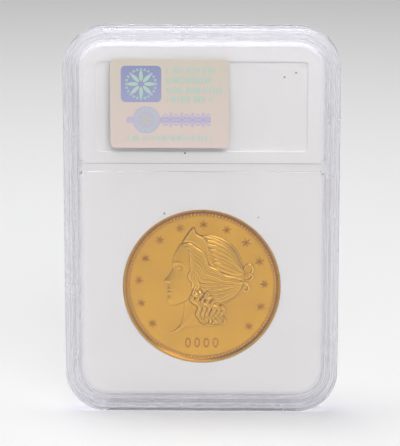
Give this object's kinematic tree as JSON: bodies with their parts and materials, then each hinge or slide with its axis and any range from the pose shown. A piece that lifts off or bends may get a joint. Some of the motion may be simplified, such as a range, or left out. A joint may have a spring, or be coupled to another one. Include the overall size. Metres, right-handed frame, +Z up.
{
  "type": "graded coin slab",
  "caption": "Sealed clear plastic holder with a white insert that shows one gold coin, a label card in front and an iridescent sticker behind.",
  "frame": {"origin": "centre of the bottom edge that the slab stands on", "axes": "+Z up along the slab's height, +X across its width to the right when the sticker side is faced, -Y out of the rear (sticker side), +Y out of the front (label side)"},
  "size_m": [0.059, 0.008, 0.084],
  "materials": {
    "clear_plastic": "gloss",
    "white_insert": "satin",
    "coin_gold": "satin",
    "label_card": "matte",
    "sticker_foil": "satin"
  },
  "bodies": {
    "root": {"rear_shell": "clear_plastic", "front_shell": "clear_plastic", "core_insert": "white_insert", "coin": "coin_gold", "grade_label": "label_card", "hologram_sticker": "sticker_foil"}
  },
  "joints": []
}
